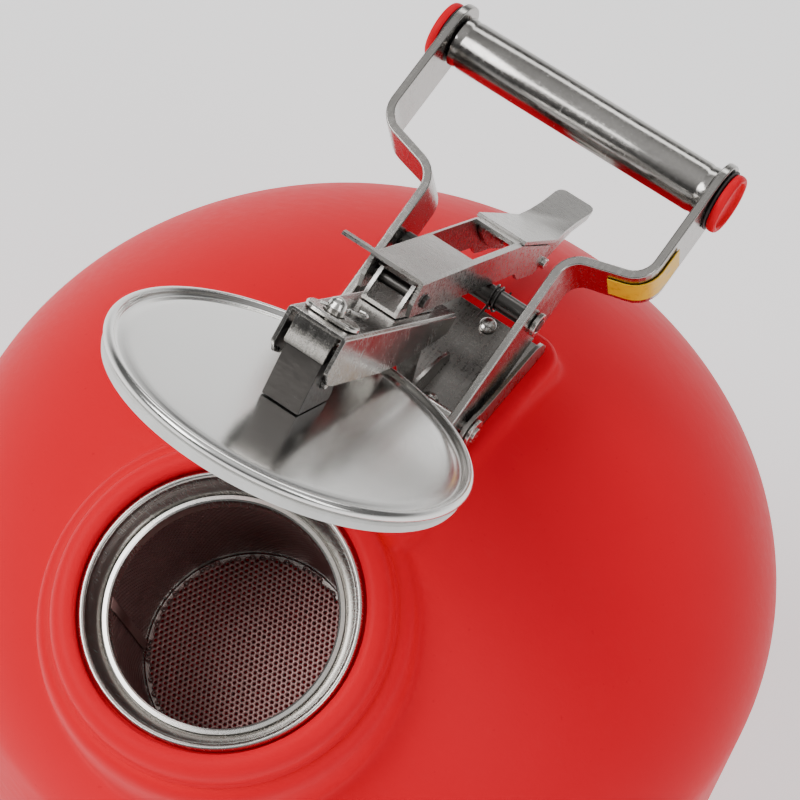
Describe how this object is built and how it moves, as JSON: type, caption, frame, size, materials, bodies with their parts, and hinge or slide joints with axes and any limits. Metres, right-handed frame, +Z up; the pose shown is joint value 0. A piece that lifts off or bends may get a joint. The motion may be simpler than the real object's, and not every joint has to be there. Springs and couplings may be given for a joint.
{
  "type": "safety can",
  "caption": "Round wide-mouth safety can with a gasketed lid on a sprung cap arm, a long lever, a cranked bail with tube grip and a lift-out flame arrester basket.",
  "frame": {"origin": "centre of the base, on the surface the can stands on", "axes": "+Z up, -Y towards the mouth, +Y towards the grip, X along the hinge pin"},
  "size_m": [0.305, 0.305, 0.428],
  "materials": {
    "red_poly": "moulded polyethylene, fine texture",
    "red_cap": "moulded, slight gloss",
    "ring_steel": "satin spun",
    "mesh_steel": "perforated, satin",
    "lid_steel": "polished, fine spun lines",
    "arm_steel": "bright rolled sheet",
    "lever_steel": "bright rolled sheet",
    "grip_steel": "worn bright tube",
    "fixings": "bright zinc plated",
    "bracket_dark": "darker rolled sheet",
    "dark_steel": "oiled dark steel",
    "seal_white": "soft white seal",
    "washer_black": "black",
    "label_yellow": "blank printed film"
  },
  "bodies": {
    "can": {"can_body": "red_poly", "neck_ring": "ring_steel", "base_bracket": "bracket_dark", "rivet_front_left": "fixings", "rivet_front_right": "fixings", "rivet_rear_left": "fixings", "rivet_rear_right": "fixings", "pivot_pin": "fixings", "pivot_clip_left": "fixings", "pivot_clip_right": "fixings"},
    "basket": {"arrester_basket": "mesh_steel", "basket_floor": "mesh_steel"},
    "arm": {"cap_arm": "arm_steel", "pivot_yoke": "arm_steel", "inner_channel": "arm_steel", "lever_pin": "dark_steel", "stud_washer": "fixings", "relief_spring": "fixings"},
    "stud": {"cap_stud": "fixings", "cotter_pin": "fixings"},
    "lid": {"lid_disc": "lid_steel", "lid_gasket": "seal_white", "gasket_plate": "ring_steel", "gasket_nut": "fixings", "lid_bracket": "dark_steel", "lid_pin": "fixings"},
    "lever": {"latch_lever": "lever_steel", "thumb_pin": "fixings"},
    "thumb": {"thumb_lever": "lever_steel"},
    "bail": {"bail_arm_left": "arm_steel", "bail_arm_right": "arm_steel", "cross_shaft": "dark_steel", "shaft_roller": "dark_steel", "shaft_nut_left": "fixings", "shaft_nut_right": "fixings", "grip_rod": "dark_steel", "grip_tube": "grip_steel", "grip_cap_left": "red_cap", "grip_cap_right": "red_cap", "grip_washer_left": "washer_black", "grip_washer_right": "washer_black", "label_plate": "label_yellow", "torsion_spring": "dark_steel"}
  },
  "joints": [
    {"name": "cap_arm_hinge", "type": "hinge", "parent": "can", "child": "arm", "pos_m": [0, 0.0014, 0.3193], "axis": [-1, 0, 0], "range_deg": [-55.2, 0]},
    {"name": "bail_hinge", "type": "hinge", "parent": "can", "child": "bail", "pos_m": [0, 0.0014, 0.3193], "axis": [-1, 0, 0], "range_deg": [-55.2, 0]},
    {"name": "relief_slide", "type": "slide", "parent": "arm", "child": "stud", "axis": [0, 0.5892, 0.808], "range_m": [0, 0.002], "stiffness_N_per_m": 1500, "springref_m": -0.004, "deforming": ["relief_spring"]},
    {"name": "lid_align", "type": "hinge", "parent": "stud", "child": "lid", "pos_m": [0, -0.05981, 0.39978], "axis": [1, 0, 0], "range_deg": [-0.5, 0.5], "stiffness_Nm_per_rad": 3},
    {"name": "latch_lift", "type": "hinge", "parent": "arm", "child": "lever", "pos_m": [0, -0.009, 0.3888], "axis": [1, 0, 0], "range_deg": [0, 6], "stiffness_Nm_per_rad": 1, "springref_deg": -22.92},
    {"name": "thumb_press", "type": "hinge", "parent": "lever", "child": "thumb", "pos_m": [0, 0.079, 0.312], "axis": [-1, 0, 0], "range_deg": [0, 8], "stiffness_Nm_per_rad": 0.6, "springref_deg": -17.19},
    {"name": "basket_lift", "type": "slide", "parent": "can", "child": "basket", "axis": [0, -0.3272, 0.9449], "range_m": [0, 0.07]}
  ],
  "couplings": [
    {"joint": "cap_arm_hinge", "follows": "bail_hinge", "ratio": 1}
  ]
}
